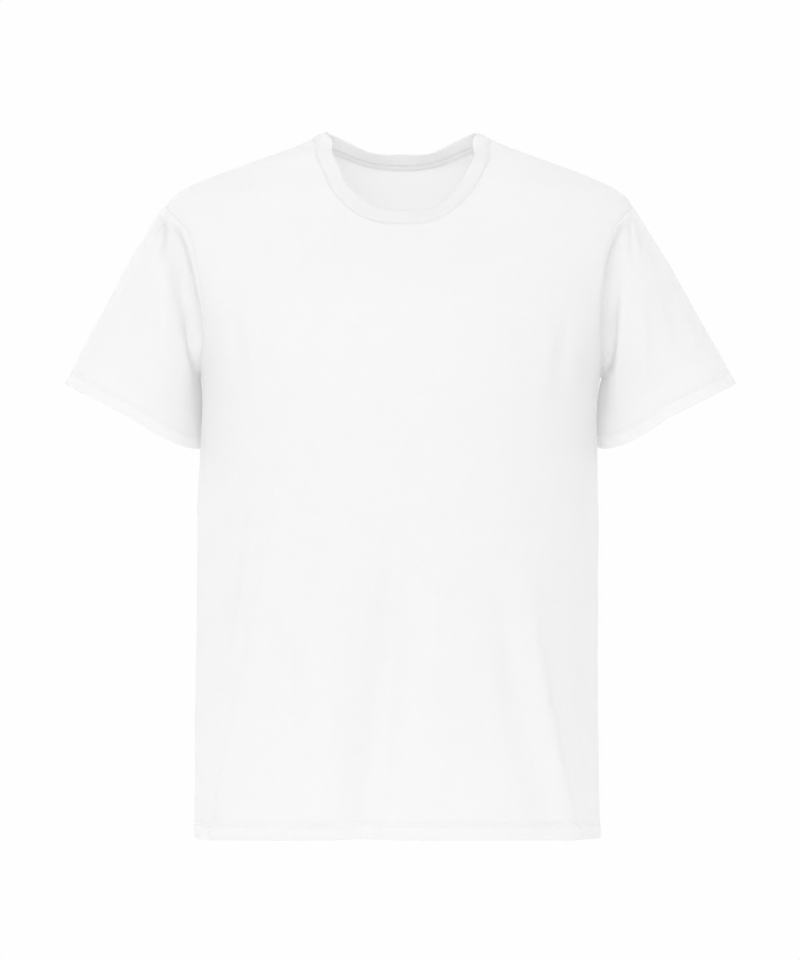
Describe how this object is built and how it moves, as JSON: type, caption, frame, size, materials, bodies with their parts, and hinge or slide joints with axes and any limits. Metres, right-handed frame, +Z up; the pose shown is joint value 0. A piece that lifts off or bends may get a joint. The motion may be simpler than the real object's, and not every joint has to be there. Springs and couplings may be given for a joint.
{
  "type": "crew neck t-shirt",
  "caption": "Short-sleeved crew neck t-shirt in plain white cotton jersey with a ribbed neckband, filled out and hollow as when worn.",
  "frame": {"origin": "midway between the two high points of the shoulders, at their height, where a wearer's shoulders hold the shirt up", "axes": "+Z up, the front faces -Y, +X towards the wearer's left"},
  "size_m": [0.681, 0.2277, 0.719],
  "materials": {
    "white_jersey": "matt fine jersey knit with a faint slub",
    "white_rib": "matt fine 1x1 rib",
    "white_tape": "matt narrow rolled tape of the same jersey"
  },
  "bodies": {
    "root": {"front": "white_jersey", "back": "white_jersey", "sleeve_right": "white_jersey", "sleeve_left": "white_jersey", "neckband": "white_rib", "neck_tape": "white_tape"}
  },
  "joints": []
}
